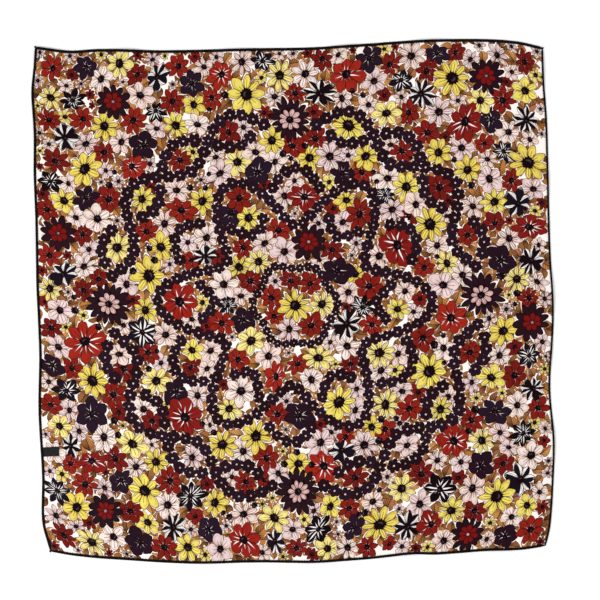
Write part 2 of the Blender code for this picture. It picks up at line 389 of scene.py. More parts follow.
printPlan = {
    "seed": 41,
    "motifSeeds": 40,  # each flower and leaf draws a number of its own below this
    "overlap": 0.74,  # how near two flowers come, as a share of the sum of their radii
    "middleDaisy": 0.037,  # radius in metres
    "cornerFlower": dict(radius=0.030, inset=0.034),  # a red flower in every corner
    "claspRing": 0.325,  # four great dahlias interrupt the outer garlands
    # garlands of florets about the middle: radius and wave in metres, blossom radius in millimetres
    "garlands": (
        dict(radius=0.322, wave=0.028, lobes=10, turn=0.0, blossom=13.6),
        dict(radius=0.322, wave=-0.028, lobes=10, turn=0.0, blossom=13.6),
        dict(radius=0.190, wave=0.050, lobes=6, turn=0.26, blossom=12.4),
        dict(radius=0.190, wave=-0.050, lobes=6, turn=0.26, blossom=12.4),
        dict(radius=0.070, wave=0.005, lobes=6, turn=0.0, blossom=9.6),
    ),
    "florets": dict(pitch=1.52, gap=0.7),  # pitch in radii; gap is the least room to the next motif
    "berries": dict(count=70, ring=0.322, wave=0.066, lobes=10, stray=0.8, gap=0.78),
    # a flower takes the best of many spots: what the free room and the distances to its family and to
    # its own kind count for, and how far away, in metres, these two stop counting
    "scatter": dict(tries=220, margin=0.9, room=3, family=0.4, kind=0.5, familyFar=0.2, kindFar=0.45),
    # rounds of pushing apart; in the first ones a family also spreads itself out
    "settling": dict(rounds=260, spreading=160, spread=0.02, spreadReach=1.35, edge=0.93),
    # tiny flowers in the gaps, in millimetres; cover is a share of the room, and rim counts map squares
    "gapFlowers": dict(most=90, cover=0.86, least=7.5, grow=1.5, largest=14, rim=4),
    # leaves, radii in millimetres; some gaps stay bare, more of them beside the hems
    "leaf": {
        "most": 3600, "radius": (10.0, 15.0), "crowding": 0.76, "bareRoom": 0.7, "bareGaps": 0.13,
        "hemReach": 0.013, "bareByHem": 0.6, "sway": 0.7, "cover": 0.66, "least": 1.2,
    },
    "leafTints": ((184, 120, 67), (192, 124, 62), (160, 103, 57), (178, 114, 71), (204, 141, 80)),
    "bloomSlots": 5,
    "leafSlots": 6,
    "wobble": 1.3,  # millimetres that hand drawing shifts a line
    "wobbleKnots": ((56, 0.6), (90, 0.4)),  # waves of that shift across the cloth, and their shares
}
draw = np.random.default_rng(printPlan["seed"])


def newBloom(kind, x, y, radius=None):
    rules = bloomKinds[kind]
    return {
        "kind": kind,
        "x": x,
        "y": y,
        "radius": draw.uniform(*rules["radius"]) * mm if radius is None else radius,
        "angle": draw.uniform(0, 2 * math.pi),
        "petals": int(draw.integers(rules["petals"][0], rules["petals"][1] + 1)),
        "seed": draw.uniform(0, printPlan["motifSeeds"]),
        "broad": 1.0,
        "squash": draw.uniform(*rules["squash"]),
        "tilt": draw.uniform(0, 1) * rules["tilt"],
        "tint": rules["tints"][draw.integers(len(rules["tints"]))],
    }


def roomOf(bloom):
    # the radius of the room that a flower fills, which is less where it is squashed or leans away
    return bloom["radius"] * (1 - 0.8 * bloom["tilt"]) * (0.4 + 0.6 * bloom["squash"])


def gapTo(placed, x, y, radius):
    return min((math.hypot(b["x"] - x, b["y"] - y) / (b["radius"] + radius) for b in placed), default=9)


def layGarlands(middle):
    # dark florets strung along waved rings, with berries beside the outer pair
    placed = [{**newBloom("sunDaisy", middle, middle, printPlan["middleDaisy"]), "held": True}]
    corner = printPlan["cornerFlower"]
    for x in (corner["inset"], 2 * middle - corner["inset"]):
        for y in (corner["inset"], 2 * middle - corner["inset"]):
            placed.append({**newBloom("redFlower", x, y, corner["radius"]), "held": True})
    for turn in (0, math.pi / 2, math.pi, 3 * math.pi / 2):
        x = middle + printPlan["claspRing"] * math.cos(turn)
        y = middle + printPlan["claspRing"] * math.sin(turn)
        placed.append({**newBloom("grandDahlia", x, y), "held": True})
    turns = np.linspace(0, 2 * math.pi, 3000)
    florets = printPlan["florets"]
    for garland in printPlan["garlands"]:
        ring = garland["radius"] + garland["wave"] * np.cos(garland["lobes"] * turns + garland["turn"])
        radius = garland["blossom"] * mm
        line = middle + ring[:, None] * np.stack([np.cos(turns), np.sin(turns)], 1)
        length = np.concatenate([[0], np.cumsum(np.hypot(*np.diff(line, axis=0).T))])
        count = round(length[-1] / (radius * florets["pitch"]))
        for walked in np.arange(count) * length[-1] / count:
            x, y = (np.interp(walked, length, line[:, axis]) for axis in (0, 1))
            if gapTo(placed, x, y, radius) > florets["gap"]:
                placed.append(newBloom("plumFloret", x, y, radius))
    berries = printPlan["berries"]
    for number in range(berries["count"]):
        turn = 2 * math.pi * (number + draw.uniform(0, berries["stray"])) / berries["count"]
        away = berries["ring"] + berries["wave"] * math.cos(berries["lobes"] * turn)
        x, y = middle + away * math.cos(turn), middle + away * math.sin(turn)
        berry = newBloom("plumBerry", x, y)
        if gapTo(placed, x, y, berry["radius"]) > berries["gap"]:
            placed.append(berry)
    return placed


def scatterBlooms(placed, cut):
    # each flower starts at the spot, among many, that lies farthest from its own kind and family
    plan = printPlan["scatter"]
    for kind, rules in bloomKinds.items():
        for _ in range(rules["count"]):
            bloom = newBloom(kind, 0.0, 0.0)
            margin = plan["margin"] * bloom["radius"]
            spots = draw.uniform(margin, cut - margin, (plan["tries"], 2))
            others = np.array([(b["x"], b["y"], b["radius"]) for b in placed])
            family = np.array([bloomKinds[b["kind"]]["family"] == rules["family"] for b in placed])
            same = np.array([b["kind"] == kind for b in placed])
            away = np.hypot(*(spots[:, None] - others[None, :, :2]).transpose(2, 0, 1))
            room = (away - others[:, 2] - bloom["radius"]).min(1)
            kin = np.where(family, away, plan["familyFar"]).min(1)
            twin = np.where(same, away, plan["kindFar"]).min(1)
            worth = plan["room"] * np.minimum(room, 0) + plan["family"] * kin + plan["kind"] * twin
            bloom["x"], bloom["y"] = spots[worth.argmax()]
            placed.append(bloom)


def settle(blooms, cut):
    # the flowers push each other apart until they lie evenly; the garlands hold their places
    plan = printPlan["settling"]
    free = [b for b in blooms if b["kind"] not in strungKinds and not b.get("held")]
    held = [b for b in blooms if b not in free]
    count = len(free)
    place = np.array([(b["x"], b["y"]) for b in free + held]).T
    radius = np.array([roomOf(b) for b in free + held])
    family = np.array([families.index(bloomKinds[b["kind"]]["family"]) for b in free + held])
    kin = plan["spread"] * (family[:count, None] == family[None])
    want = (radius[:count, None] + radius[None]) * printPlan["overlap"]
    yields = 0.5 * radius[None] ** 2 / (radius[:count, None] ** 2 + radius[None] ** 2)
    yields[:, count:] = 0.5
    yields[np.arange(count), np.arange(count)] = 0
    edge = plan["edge"] * radius[:count]
    for step in range(plan["rounds"]):
        apart = place[:, :count, None] - place[:, None]
        away = np.sqrt(apart[0] ** 2 + apart[1] ** 2) + 1e-9
        push = np.maximum(want - away, 0)
        if step < plan["spreading"]:
            push += kin * np.maximum(plan["spreadReach"] * want - away, 0)
        place[:, :count] += (apart * (push * yields / away)).sum(2)
        place[:, :count] = np.clip(place[:, :count], edge, cut - edge)
    for bloom, x, y in zip(free, *place):
        bloom["x"], bloom["y"] = x, y


class RoomMap:
    # how far each place on the cloth lies from the motifs around it
    far = 0.05  # metres, past which room isn't measured

    def __init__(self, cut, count=361):
        self.line = np.linspace(0, cut, count)
        self.step = self.line[1]
        self.room = np.full((count, count), self.far)

    def take(self, x, y, radius):
        spans = []
        for middle in (y, x):
            low = max(int((middle - radius - self.far) / self.step), 0)
            spans.append(slice(low, int((middle + radius + self.far) / self.step) + 2))
        away = np.hypot(self.line[spans[1]][None] - x, self.line[spans[0]][:, None] - y) - radius
        window = self.room[spans[0], spans[1]]
        np.minimum(window, away, out=window)

    def widest(self):
        row, column = np.unravel_index(self.room.argmax(), self.room.shape)
        return self.line[column], self.line[row], self.room[row, column]


def fillGaps(blooms, cut):
    # tiny flowers in the gaps that are left
    plan = printPlan["gapFlowers"]
    gaps = RoomMap(cut)
    for b in blooms:
        gaps.take(b["x"], b["y"], plan["cover"] * roomOf(b))
    rim = plan["rim"]
    gaps.room[:rim] = gaps.room[-rim:] = gaps.room[:, :rim] = gaps.room[:, -rim:] = 0
    for _ in range(plan["most"]):
        x, y, room = gaps.widest()
        if room < plan["least"] * mm:
            break
        kind = ("smallBlush", "smallRed", "smallBlush", "smallYellow")[draw.integers(4)]
        blooms.append(newBloom(kind, x, y, min(room + plan["grow"] * mm, plan["largest"] * mm)))
        gaps.take(x, y, blooms[-1]["radius"])


def growLeaves(blooms, cut):
    # leaves under the flowers, the widest gaps first
    plan, tints = printPlan["leaf"], printPlan["leafTints"]
    gaps = RoomMap(cut)
    for b in blooms:
        gaps.take(b["x"], b["y"], plan["cover"] * roomOf(b))
    flowers = np.array([(b["x"], b["y"], b["radius"]) for b in blooms]).T
    leaves = []
    for _ in range(plan["most"]):
        x, y, room = gaps.widest()
        if room < plan["least"] * mm:
            break
        radius = draw.uniform(*plan["radius"]) * mm
        byHem = min(x, y, cut - x, cut - y) < plan["hemReach"]
        bare = draw.uniform() < plan["bareByHem" if byHem else "bareGaps"]
        gaps.take(x, y, plan["bareRoom" if bare else "crowding"] * radius)
        if not bare:
            # the leaf points away from the flower that it grows under
            nearest = (np.hypot(flowers[0] - x, flowers[1] - y) - flowers[2]).argmin()
            heading = math.atan2(y - flowers[1, nearest], x - flowers[0, nearest])
            leaves.append({
                "x": x, "y": y, "radius": radius, "angle": heading + draw.uniform(-1, 1) * plan["sway"],
                "seed": draw.uniform(0, printPlan["motifSeeds"]), "tint": tints[draw.integers(len(tints))],
                "broad": 0.86,
            })
    return leaves


def placeRows(motif):
    # how a place on the flat cloth turns into the motif's own x and y, which run from -1 to 1
    cos, sin, radius = math.cos(motif["angle"]), math.sin(motif["angle"]), motif["radius"]
    tall = radius * motif.get("squash", 1.0)
    x, y = motif["x"], motif["y"]
    rowX = (cos / radius, sin / radius, -(cos * x + sin * y) / radius)
    rowY = (-sin / tall, cos / tall, (sin * x - cos * y) / tall)
    return rowX, rowY


def writeSlots(mesh, prefix, motifs, slots, cells, cut, rowsOf):
    # each face of the cloth holds the numbers of the topmost motifs that may reach it, top one first
    spacing = cut / cells
    centres = (np.arange(cells) + 0.5) * spacing
    used = np.zeros((cells, cells), int)
    grids = {name: np.zeros((slots, cells, cells, 4), np.float32) for name in rowsOf(motifs[0])}
    for name in ("X", "Y"):
        grids[name][..., 2:] = (-9.0, 0.02)  # a slot with no motif reads a place far outside one
    missed = 0
    margin = 0.71 * spacing + printPlan["wobble"] * mm
    for motif in motifs:
        awayX, awayY = centres[None, :] - motif["x"], centres[:, None] - motif["y"]
        cos, sin = math.cos(motif["angle"]), math.sin(motif["angle"])
        across = awayY * cos - awayX * sin
        reach = motif["radius"] + margin
        near = (np.hypot(awayX, awayY) < reach) & (abs(across) < motif["radius"] * motif["broad"] + margin)
        missed += int((near & (used >= slots)).sum())
        rows, columns = np.nonzero(near & (used < slots))
        for name, row in rowsOf(motif).items():
            grids[name][used[rows, columns], rows, columns] = row
        used[rows, columns] += 1
    for name, grid in grids.items():
        for slot in range(slots):
            values = np.zeros((len(mesh.polygons), 4), np.float32)
            values[: cells * cells] = values[-cells * cells :] = grid[slot].reshape(-1, 4)
            layer = mesh.attributes.new(f"{prefix}{slot}{name}", "FLOAT_COLOR", "FACE")
            layer.data.foreach_set("color", values.ravel())
    print(prefix, "slots written; faces that found theirs full:", missed)


def bloomRows(bloom):
    rules = bloomKinds[bloom["kind"]]
    rowX, rowY = placeRows(bloom)
    pale = rules["pale"] * (0.35 + 0.65 * (bloom["seed"] % 1))  # each disc a little unlike the next
    return {
        "X": (*rowX, bloom["radius"]),
        "Y": (*rowY, rules["disc"]),
        "Tint": (*paint(*bloom["tint"]), rules["streak"]),
        "Form": (bloom["petals"], bloom["seed"], rules["width"], rules["point"]),
        "Mark": (rules["vein"], pale, rules["side"], bloom["tilt"]),
    }


def leafRows(leaf):
    rowX, rowY = placeRows(leaf)
    return {"X": (*rowX, leaf["radius"]), "Y": (*rowY, leaf["seed"]), "Tint": (*paint(*leaf["tint"]), 1.0)}


def printOrder(bloom):
    # hearts lie on top, then the garlands, then the largest flowers
    return bloom["kind"] not in hearts.values(), bloom["kind"] not in strungKinds, -bloom["radius"]


hearts = {"dahlia": "dahliaHeart", "grandDahlia": "blushHeart"}
blooms = layGarlands(lie["cut"] / 2)
scatterBlooms(blooms, lie["cut"])
settle(blooms, lie["cut"])
fillGaps(blooms, lie["cut"])
blooms += [newBloom(hearts[b["kind"]], b["x"], b["y"]) for b in blooms if b["kind"] in hearts]
leaves = growLeaves(blooms, lie["cut"])
blooms.sort(key=printOrder)
print("print laid out:", len(blooms), "flowers and", len(leaves), "leaves")


cloth = {
    "cells": 206,
    "thickness": 0.5 * mm,
    "tuck": 1.6,  # millimetres of cloth that run on under each rolled hem
    "mapMargin": 0.003,  # share of the bake map left free round the cloth
}


# ---- the silk square itself

def clothPlaces(cells):
    # a grid stretched between the four seams, as rows of points from the bottom to the top
    insets = {name: side["hemWidth"] - cloth["tuck"] for name, side in sides.items()}
    top, right = insetLine("top", insets, cells), insetLine("right", insets, cells)[::-1]
    bottom, left = insetLine("bottom", insets, cells)[::-1], insetLine("left", insets, cells)
    u = np.linspace(0, 1, cells + 1)[None, :, None]
    v = np.linspace(0, 1, cells + 1)[:, None, None]
    across = left[:, None] * (1 - u) + right[:, None] * u
    upward = bottom[None] * (1 - v) + top[None] * v
    twist = (bottom[0] * (1 - u) + bottom[-1] * u) * (1 - v) + (top[0] * (1 - u) + top[-1] * u) * v
    return across + upward - twist


def handShift(count):
    # a smooth random shift of the drawing, as a hand gives it, in metres
    shift = np.zeros((count, count, 2))
    for knots, share in printPlan["wobbleKnots"]:
        coarse = draw.uniform(-1, 1, (knots + 3, knots + 3, 2))
        at = np.linspace(0, knots, count)
        near, part = at.astype(int), (at % 1)[:, None, None]
        part = part * part * (3 - 2 * part)
        rows = coarse[near] * (1 - part) + coarse[near + 1] * part
        across = part.transpose(1, 0, 2)
        shift += share * (rows[:, near] * (1 - across) + rows[:, near + 1] * across)
    return shift * printPlan["wobble"] * mm


def buildCloth():
    # a closed thin shell: underside first, then the rim, then the face
    cells = cloth["cells"]
    plane = clothPlaces(cells)
    x, y = plane[..., 0], plane[..., 1]
    height = standOff(x, y, folds) + standOff(x, y, creases)
    low = np.stack([x, y, height], -1).reshape(-1, 3)
    high = low + (0, 0, cloth["thickness"])
    index = np.arange((cells + 1) ** 2).reshape(cells + 1, cells + 1)
    a, b, c, d = (index[:-1, :-1], index[:-1, 1:], index[1:, 1:], index[1:, :-1])
    faceUp = np.stack([a, b, c, d], -1).reshape(-1, 4)
    loop = np.concatenate([index[0, :-1], index[:-1, -1], index[-1, :0:-1], index[:0:-1, 0]])
    after = np.roll(loop, -1)
    rim = np.stack([loop, after, after + index.size, loop + index.size], -1)
    faces = np.concatenate([faceUp[:, ::-1], rim, faceUp + index.size])
    mesh = bpy.data.meshes.new("printedSilkSquare")
    mesh.from_pydata(np.concatenate([low, high]).tolist(), [], faces.tolist())
    line = np.linspace(0, lie["cut"], cells + 1)
    flat = np.stack([*np.meshgrid(line, line), np.ones(index.shape)], -1).reshape(-1, 3)
    flat = np.concatenate([flat, flat]).astype(np.float32)
    shift = handShift(cells + 1).reshape(-1, 2).astype(np.float32)
    drawn = flat + np.column_stack([np.concatenate([shift, shift]), np.zeros(len(flat), np.float32)])
    for name, places in (("flatPlace", flat), ("drawnPlace", drawn)):
        layer = mesh.attributes.new(name, "FLOAT_VECTOR", "POINT")
        layer.data.foreach_set("vector", places.astype(np.float32).ravel())
    corners = np.empty(len(mesh.loops), np.int32)
    mesh.loops.foreach_get("vertex_index", corners)
    bakeMap = cloth["mapMargin"] + (1 - 2 * cloth["mapMargin"]) * flat[corners, :2] / lie["cut"]
    mesh.uv_layers.new(name="OFBake").uv.foreach_set("vector", bakeMap.astype(np.float32).ravel())
    writeSlots(mesh, "leaf", leaves, printPlan["leafSlots"], cells, lie["cut"], leafRows)
    writeSlots(mesh, "bloom", blooms, printPlan["bloomSlots"], cells, lie["cut"], bloomRows)
    mesh.shade_smooth()
    return newObject("printedSilkSquare", mesh)


square = buildCloth()
print("silk square made:", len(square.data.polygons), "faces")


# ---- node groups for the printed motifs and the weave

inkColour = paint(14, 2, 3)
lineColour = paint(26, 7, 7)
veinColour = paint(50, 19, 14)
petalStain = (0.76, 0.5, 0.4)
paleStroke = paint(246, 238, 234)
bareCloth = paint(252, 242, 236)
bloomDrawing = {
    "base": 0.06,  # share of the radius at which petals begin
    "shorter": 0.18,  # by how much of the radius the shortest petal falls short
    "swing": 0.3,  # how far a petal turns out of its sector, in half sectors
    "narrower": 0.3,  # how much narrower the narrowest petal is
    "backLean": 0.34,  # how much broader a petal is at its tip than in its middle
    "ruffle": 0.12,
    "lineShare": 0.008,  # the outline's width: this share of the radius, and this much in metres
    "lineLeast": 0.00058,
    "veinEdge": (0.0008, 0.0003),  # metres from a vein's middle
    "stain": (0.5, 0.42),  # how warm petals turn at their foot and along their edge
    "sliver": 0.0018,  # metres of bare cloth that leaves leave open beside the petals
}
leafDrawing = {
    "width": 0.76,
    "taper": 0.2,
    "bend": 0.1,
    "veins": 3.3,
    "outline": (0.001, 0.0005),  # metres from the leaf's edge
    "sliver": 0.0011,
    "line": (50, 21, 11),
}


# what a motif's group gets from each layer of a face: three numbers as a colour, and the fourth alone
leafLayers = {"X": ("X Row", "Radius"), "Y": ("Y Row", "Seed"), "Tint": ("Tint",)}
bloomLayers = {
    "X": ("X Row", "Radius"), "Y": ("Y Row", "Disc"), "Tint": ("Tint", "Streak"),
    "Form": ("Form", "Point"), "Mark": ("Mark", "Tilt"),
}


def motifGroup(name, layers, outputs):
    inputs = {"Flat X": 0.0, "Flat Y": 0.0}
    for labels in layers.values():
        inputs.update(zip(labels, ("Color", 0.0)))
    return newGroup(name, "ShaderNodeTree", inputs, outputs)


def useMotif(tree, group, prefix, layers, flat):
    # prefix and a layer's name give the name of the cloth's attribute
    values = dict(zip(("Flat X", "Flat Y"), flat))
    for name, labels in layers.items():
        values.update(zip(labels, attribute(tree, prefix + name)))
    return useGroup(tree, group, values)


def inMotif(given):
    # the motif's own x and y at this place of the cloth
    found = []
    for row in ("X Row", "Y Row"):
        byX, byY, start = given[row].split()
        found.append(given["Flat X"] * byX + given["Flat Y"] * byY + start)
    return found


def buildBloomGroup():
    # petals in equal sectors round a disc, each a leaning oval with its own length, veins and strokes
    outputs = {"Colour": "Color", "Bare": "Float", "Gap": "Float"}
    tree, given, end = motifGroup("printedBloom", bloomLayers, outputs)
    look = bloomDrawing
    x, y = inMotif(given)
    radius, disc, streak, tip = given["Radius"], given["Disc"], given["Streak"], given["Point"]
    petals, seed, width = given["Form"].split()
    vein, pale, side = given["Mark"].split()
    lean = (y * given["Tilt"] + 1) / (1 - given["Tilt"])
    x, y = x * lean, y * lean
    out = (x * x + y * y).do("SQRT")
    turn = y.do("ARCTAN2", x)
    sector = maths(tree, "DIVIDE", math.pi, petals)
    steps = turn / (sector * 2)
    petal = steps.do("ROUND")
    off = steps - petal
    dice = addNode(tree, "ShaderNodeTexWhiteNoise", noise_dimensions="1D")
    feed(tree, dice.inputs["W"], petal.do("FLOORED_MODULO", petals) * 1.7 + seed)
    one, two, three = Wire(tree, dice.outputs["Color"]).split()
    swing = (off * 2 + (one - 0.5) * look["swing"]) * sector
    along, across = out * swing.do("COSINE"), out * swing.do("SINE")
    reach = 1 - two * look["shorter"]
    middle, half = (reach + look["base"]) / 2, (reach - look["base"]) / 2
    lengthwise = (along - middle) / half
    broad = width * middle * sector.do("TANGENT") * (three * look["narrower"] + 0.85)
    tipward = lengthwise.do("MAXIMUM", 0.0)
    sideways = across * (tip * tipward * tipward * 1.3 + 1) / (broad * (lengthwise * look["backLean"] + 1))
    ruffle = ((sideways * 9 + one * 20).do("SINE") * tipward * streak * look["ruffle"]) + 1
    oval = (lengthwise * lengthwise + sideways * sideways).do("SQRT") * ruffle
    fromEdge = (1 - oval) * broad * radius
    fromNext = out * ((0.5 - abs(off)) * 2 * sector).do("SINE") * radius
    onPetal = fromEdge.ramp(0.0, 0.0002)
    line = radius * look["lineShare"] + look["lineLeast"]
    outlined = fromEdge.do("MINIMUM", fromNext * 1.6).ramp(line * 1.25, line * 0.75)
    veinPlace = sideways * 1.55 + one * 0.3 + 0.35
    veinLine = abs(veinPlace.do("FRACT") - 0.5) * broad * radius / 1.55
    veinEnd = two * 0.9 - 0.1 - abs(sideways) * 0.3
    veined = veinLine.ramp(*look["veinEdge"]) * lengthwise.ramp(veinEnd + 0.12, veinEnd - 0.05)
    inner = (abs(oval - 0.6) * broad * radius).ramp(0.0007, 0.0002) * (sideways * one + 0.3).ramp(0.1, 0.4)
    veined = veined.do("MAXIMUM", inner * 0.5) * vein
    foot, rim = look["stain"]
    warmth = lengthwise.ramp(0.1, -0.9) * foot + fromEdge.ramp(line * 3.6, line) * rim
    shade = two * 0.2 + 0.88 - lengthwise.ramp(0.0, -1.0) * 0.12 - sideways.ramp(0.1, 0.6) * 0.08
    colour = blended(
        tree, veined * 0.82, blended(tree, warmth, given["Tint"], petalStain, "MULTIPLY"), veinColour,
    )
    colour = blended(tree, shade * (1 - outlined * 0.98), lineColour, colour)
    strokePlace = sideways * (side * 1.3 + 1.9 - streak) + two * 3
    strokeShare = abs(strokePlace.do("FRACT") - 0.5)
    strokeEnd = streak * (three * 1.1 + 0.7) * 2 - 1
    strokeEnd = strokeEnd + (strokePlace.do("FLOOR") * 2.4 + one * 9).do("SINE") * 0.25
    strokeWidth = streak * 0.4 * lengthwise.ramp(strokeEnd, strokeEnd - 0.9)
    stroked = strokeShare.ramp(strokeWidth + 0.02, strokeWidth - 0.02)
    stroked = stroked * lengthwise.ramp(strokeEnd, strokeEnd - 0.06)
    feather = (strokeShare - lengthwise * 0.6 + 0.42 - one * 0.14).ramp(0.05, -0.05) * two.ramp(0.55, 0.5)
    crescent = (sideways * (one - 0.3).do("SIGN")).ramp(0.16, 0.26) * lengthwise.ramp(-0.8, -0.3)
    crescent = crescent * two.ramp(0.14, 0.16)
    hatched = strokeShare.ramp(0.34, 0.42) * lengthwise.ramp(three * 0.9, three * 0.9 - 0.2)
    halfWhite = feather.do("MAXIMUM", crescent * oval.ramp(0.88, 0.82) * (1 - hatched)) * side
    stroked = stroked.do("MAXIMUM", halfWhite)
    colour = blended(tree, stroked * (1 - outlined), colour, paleStroke)
    ragged = (turn * 13 + seed).do("SINE") * 0.1 + (turn * 5 + seed * 2).do("SINE") * 0.06 + 1
    wobble = out * ragged
    onDisc = wobble.ramp(disc + 0.012, disc - 0.012)
    inDisc = out / (disc + 0.001)
    glint = abs(inDisc - 0.45).ramp(0.2, 0.1) * ((turn + seed).do("SINE") - 0.2).do("MAXIMUM", 0.0)
    middleTone = blended(tree, pale, paint(16, 3, 7), paint(222, 200, 202))
    middleTone = blended(tree, glint * (1 - pale) * 0.8, middleTone, paint(92, 70, 88))
    ringed = wobble.ramp(disc + line / radius * 2.2, disc + line / radius * 1.4) * (1 - pale)
    colour = blended(tree, ringed, colour, inkColour)
    colour = blended(tree, onDisc, colour, middleTone)
    feed(tree, end.inputs["Colour"], colour)
    feed(tree, end.inputs["Bare"], (1 - onPetal) * (1 - onDisc))
    # slivers of bare cloth that the leaves leave open beside the petals
    gapWidth = (turn * 7 + seed * 3).do("SINE") * look["sliver"]
    feed(tree, end.inputs["Gap"], (fromEdge + gapWidth).ramp(0.0, 0.0003) * out.ramp(1.3, 1.2))
    return tree


def buildLeafGroup():
    # one round leaf: midrib, slanting veins, a darker half, a drawn outline and slivers of bare cloth
    tree, given, end = motifGroup("printedLeaf", leafLayers, {"Colour": "Color", "Bare": "Float"})
    look = leafDrawing
    x, y = inMotif(given)
    radius, seed = given["Radius"], given["Seed"]
    bent = y + (x * 2.2 + seed).do("SINE") * look["bend"]
    broad = (1 - x * x) * (look["width"] - x * look["taper"])
    fromEdge = (broad - abs(bent)) * radius
    veinPlace = (x * look["veins"] - abs(bent) * 3.0 + seed).do("FRACT")
    veined = abs(veinPlace - 0.5).ramp(0.2, 0.07)
    midrib = abs(bent).ramp(0.07 - x * 0.03, 0.02)
    outlined = fromEdge.ramp(*look["outline"])
    lowerHalf = bent.ramp(-0.02, 0.04)
    shade = 1.14 - lowerHalf * 0.4 - veinPlace * 0.16 - x.ramp(0.2, -0.8) * 0.5
    shade = shade * (1 - veined * (lowerHalf * 0.2 + 0.58))
    colour = blended(tree, shade, (0.0, 0.0, 0.0), given["Tint"])
    colour = blended(tree, midrib.do("MAXIMUM", outlined), colour, paint(*look["line"]))
    margin = ((x * 4 + seed * 2).do("SINE") * look["sliver"]).do("MAXIMUM", 0.0)
    colour = blended(tree, fromEdge.ramp(0.0001, -0.0001), colour, bareCloth)
    feed(tree, end.inputs["Colour"], colour)
    feed(tree, end.inputs["Bare"], (fromEdge + margin).ramp(0.0001, -0.0001))
    return tree


def stretched(tree, place, byX, byY):
    inputs = {0: place, 1: (byX, byY, byX)}
    return Wire(tree, addNode(tree, "ShaderNodeVectorMath", inputs, operation="MULTIPLY").outputs[0])


def buildTwillGroup():
    # fine diagonal ribs of the weave, with threads that vary a little
    inputs, outputs = {"Place": "Vector", "Ribs": 1500.0}, {"Height": "Float", "Yarn": "Float"}
    tree, given, end = newGroup("silkTwill", "ShaderNodeTree", inputs, outputs)
    apart = addNode(tree, "ShaderNodeSeparateXYZ", {0: given["Place"]})
    x, y = Wire(tree, apart.outputs[0]), Wire(tree, apart.outputs[1])
    ribs = ((x + y) * given["Ribs"] * 2 * math.pi).do("SINE") * 0.5 + 0.5
    warp = noiseAt(tree, stretched(tree, given["Place"], 900, 30), 1.0, 1.0)
    weft = noiseAt(tree, stretched(tree, given["Place"], 30, 900), 1.0, 1.0)
    yarn = (warp + weft) * 0.5
    feed(tree, end.inputs["Height"], ribs * 0.6 + yarn * 0.4)
    feed(tree, end.inputs["Yarn"], yarn)
    return tree


bloomGroup, leafGroup, twillGroup = buildBloomGroup(), buildLeafGroup(), buildTwillGroup()


def newMaterial(name):
    material = bpy.data.materials.new(name)
    material.use_nodes = True
    tree = material.node_tree
    tree.nodes.clear()
    shader = addNode(tree, "ShaderNodeBsdfPrincipled")
    addNode(tree, "ShaderNodeOutputMaterial", {"Surface": shader})
    return material, tree, shader


def bumped(tree, shader, height, distance, strength):
    bump = addNode(tree, "ShaderNodeBump", {"Distance": distance, "Strength": strength, "Height": height})
    feed(tree, shader.inputs["Normal"], bump)


def darkWeave(name, look):
    # near-black cloth, a little mottled: the hems' silk and the label's tape
    material, tree, shader = newMaterial(name)
    place = Wire(tree, addNode(tree, "ShaderNodeTexCoord").outputs["Object"])
    twill = useGroup(tree, twillGroup, {"Place": place, "Ribs": look["ribs"]})
    mottled = noiseAt(tree, place, look["mottle"], 3.0)
    colour = blended(tree, mottled.ramp(*look["ramp"]), paint(*look["low"]), paint(*look["high"]))
    feed(tree, shader.inputs["Base Color"], colour)
    feed(tree, shader.inputs["Roughness"], twill["Yarn"] * 0.2 + look["rough"])
    shader.inputs["Specular IOR Level"].default_value = look["shine"]
    bumped(tree, shader, twill["Height"] + mottled * look["grain"], *look["bump"])
    return material


def printedSilk():
    # every slot's nodes are made together, in the order they depend on each other
    material, tree, shader = newMaterial("printedSilk")
    drawn, _ = attribute(tree, "drawnPlace")
    flat = drawn.split()
    colour = bareCloth
    for slot in reversed(range(printPlan["leafSlots"])):
        leaf = useMotif(tree, leafGroup, f"leaf{slot}", leafLayers, flat)
        colour = blended(tree, leaf["Bare"], leaf["Colour"], colour)
    beside = 1.0
    for slot in reversed(range(printPlan["bloomSlots"])):
        bloom = useMotif(tree, bloomGroup, f"bloom{slot}", bloomLayers, flat)
        colour = blended(tree, bloom["Gap"] * beside, colour, bareCloth)
        colour = blended(tree, bloom["Bare"], bloom["Colour"], colour)
        beside = bloom["Bare"] * beside
    undrawn = addNode(tree, "ShaderNodeAttribute", attribute_name="flatPlace")
    place = Wire(tree, undrawn.outputs["Vector"])
    twill = useGroup(tree, twillGroup, {"Place": place})
    colour = blended(tree, twill["Yarn"] * 0.1 + 0.95, (0.0, 0.0, 0.0), colour)
    feed(tree, shader.inputs["Base Color"], colour)
    feed(tree, shader.inputs["Roughness"], noiseAt(tree, place, 14.0) * 0.14 + 0.42)
    shader.inputs["Specular IOR Level"].default_value = 0.03
    bumped(tree, shader, twill["Height"], 0.00012, 0.5)
    return material


square.data.materials.append(printedSilk())
print("print material made:", sum(len(g.nodes) for g in bpy.data.node_groups), "nodes in groups")


# ---- rolled hems

hemRoll = {
    "height": 2.6,  # millimetres
    "sides": 16,
    "step": 2.2,
    "pucker": 0.12,  # millimetres that the roll swells and sinks
    "twistPitch": 7.0,  # millimetres between the slanting wrinkles of the roll
    # millimetres that both rolls run past each corner, thinning into one small ear
    "ears": {"topLeft": 3.8, "topRight": 2.6, "bottomRight": 0.8, "bottomLeft": 3.6},
    "taper": 9.0,  # millimetres over which it thins towards its end
    "tipShare": 0.42,
    "points": 220,  # points of the line that it follows
    "silk": dict(
        ribs=1200.0, mottle=120.0, ramp=(0.35, 0.75), low=(4, 2, 4), high=(16, 9, 13), rough=0.36,
        shine=0.05, grain=2, bump=(0.00015, 0.6),
    ),
}


